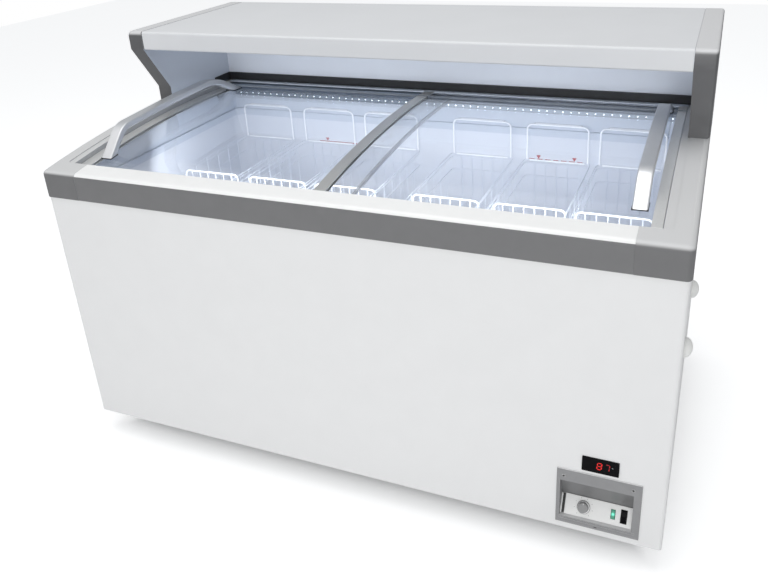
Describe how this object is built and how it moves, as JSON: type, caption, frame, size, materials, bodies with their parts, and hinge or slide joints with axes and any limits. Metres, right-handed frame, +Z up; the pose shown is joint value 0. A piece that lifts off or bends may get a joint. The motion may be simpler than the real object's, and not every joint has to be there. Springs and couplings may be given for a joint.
{
  "type": "ice cream freezer",
  "caption": "Island chest freezer on castors with two curved sliding glass lids, wire baskets, a rear canopy on side brackets and a low control recess with display.",
  "frame": {"origin": "on the floor under the middle of the cabinet", "axes": "+X to the right as seen from the front and along the long side, +Y from the front to the back, +Z up"},
  "size_m": [1.513, 0.88, 1.048],
  "materials": {
    "body_white": "satin",
    "canopy_white": "satin",
    "bracket_grey": "satin",
    "rim_grey": "satin",
    "rail_grey": "satin",
    "strip_white": "satin",
    "black_plastic": "matte",
    "skirt_grey": "satin",
    "foam": "matte",
    "tank_white": "satin",
    "base_steel": "satin",
    "pane": "gloss",
    "profile_metal": "satin",
    "handle_silver": "satin",
    "wire_white": "gloss",
    "light_lens": "satin",
    "display_black": "gloss",
    "bezel_grey": "satin",
    "plate_white": "satin",
    "knob_grey": "satin",
    "lamp_green": "gloss",
    "switch_black": "satin",
    "compressor_black": "gloss",
    "copper": "satin",
    "fin_metal": "satin",
    "buffer_white": "satin",
    "castor_steel": "satin",
    "wheel_grey": "matte"
  },
  "bodies": {
    "cabinet": {"outer_shell": "body_white", "rear_sheet": "body_white", "base_frame": "base_steel", "insulation": "foam", "liner": "tank_white", "inner_frame": "skirt_grey", "front_rail": "rail_grey", "left_rim": "rim_grey", "right_rim": "rim_grey", "front_strip": "strip_white", "rear_rail": "black_plastic", "rear_seal": "black_plastic", "front_track": "skirt_grey", "rear_track": "black_plastic", "left_bracket": "bracket_grey", "right_bracket": "bracket_grey", "canopy_top": "canopy_white", "rear_panel": "canopy_white", "back_cover": "canopy_white", "light_housing": "black_plastic", "light_lens": "light_lens", "display_module": "display_black", "display_window": "display_black", "control_bezel": "bezel_grey", "faceplate": "plate_white", "thermostat_body": "black_plastic", "rocker_housing": "switch_black", "pilot_lamp": "lamp_green", "compressor": "compressor_black", "condenser": "fin_metal", "fan_guard": "black_plastic", "fan_motor": "compressor_black", "pipework": "copper", "buffers": "buffer_white", "basket_1": "wire_white", "basket_2": "wire_white", "basket_3": "wire_white", "basket_4": "wire_white", "basket_5": "wire_white", "basket_6": "wire_white"},
    "left_lid": {"left_glass": "pane", "left_end_profile": "profile_metal", "left_edge_trim": "black_plastic", "left_handle": "handle_silver"},
    "right_lid": {"right_glass": "pane", "right_end_profile": "profile_metal", "right_meeting_profile": "profile_metal", "right_handle": "handle_silver"},
    "knob": {"thermostat_knob": "knob_grey"},
    "rocker": {"power_rocker": "switch_black"},
    "fan": {"fan_blades": "black_plastic"},
    "fork_front_left": {"castor_fork_front_left": "castor_steel"},
    "wheel_front_left": {"castor_wheel_front_left": "wheel_grey"},
    "fork_front_right": {"castor_fork_front_right": "castor_steel"},
    "wheel_front_right": {"castor_wheel_front_right": "wheel_grey"},
    "fork_rear_left": {"castor_fork_rear_left": "castor_steel"},
    "wheel_rear_left": {"castor_wheel_rear_left": "wheel_grey"},
    "fork_rear_right": {"castor_fork_rear_right": "castor_steel"},
    "wheel_rear_right": {"castor_wheel_rear_right": "wheel_grey"}
  },
  "joints": [
    {"name": "left_lid_slide", "type": "slide", "parent": "cabinet", "child": "left_lid", "axis": [1, 0, 0], "range_m": [0, 0.59]},
    {"name": "right_lid_slide", "type": "slide", "parent": "cabinet", "child": "right_lid", "axis": [1, 0, 0], "range_m": [-0.59, 0]},
    {"name": "thermostat_turn", "type": "hinge", "parent": "cabinet", "child": "knob", "pos_m": [0.58, -0.42066, 0.12511], "axis": [0, -0.8321, 0.5547], "range_deg": [-140, 140]},
    {"name": "power_rock", "type": "hinge", "parent": "cabinet", "child": "rocker", "pos_m": [0.665, -0.41817, 0.12345], "axis": [1, 0, 0], "range_deg": [0, 16]},
    {"name": "fan_spin", "type": "hinge", "parent": "cabinet", "child": "fan", "pos_m": [0.608, -0.173, 0.179], "axis": [0, -1, 0], "continuous": true},
    {"name": "swivel_front_left", "type": "hinge", "parent": "cabinet", "child": "fork_front_left", "pos_m": [-0.62, -0.36, 0.066], "axis": [0, 0, 1], "continuous": true},
    {"name": "roll_front_left", "type": "hinge", "parent": "fork_front_left", "child": "wheel_front_left", "pos_m": [-0.62, -0.344, 0.025], "axis": [1, 0, 0], "continuous": true},
    {"name": "swivel_front_right", "type": "hinge", "parent": "cabinet", "child": "fork_front_right", "pos_m": [0.62, -0.36, 0.066], "axis": [0, 0, 1], "continuous": true},
    {"name": "roll_front_right", "type": "hinge", "parent": "fork_front_right", "child": "wheel_front_right", "pos_m": [0.62, -0.344, 0.025], "axis": [1, 0, 0], "continuous": true},
    {"name": "swivel_rear_left", "type": "hinge", "parent": "cabinet", "child": "fork_rear_left", "pos_m": [-0.62, 0.36, 0.066], "axis": [0, 0, 1], "continuous": true},
    {"name": "roll_rear_left", "type": "hinge", "parent": "fork_rear_left", "child": "wheel_rear_left", "pos_m": [-0.62, 0.376, 0.025], "axis": [1, 0, 0], "continuous": true},
    {"name": "swivel_rear_right", "type": "hinge", "parent": "cabinet", "child": "fork_rear_right", "pos_m": [0.62, 0.36, 0.066], "axis": [0, 0, 1], "continuous": true},
    {"name": "roll_rear_right", "type": "hinge", "parent": "fork_rear_right", "child": "wheel_rear_right", "pos_m": [0.62, 0.376, 0.025], "axis": [1, 0, 0], "continuous": true}
  ]
}
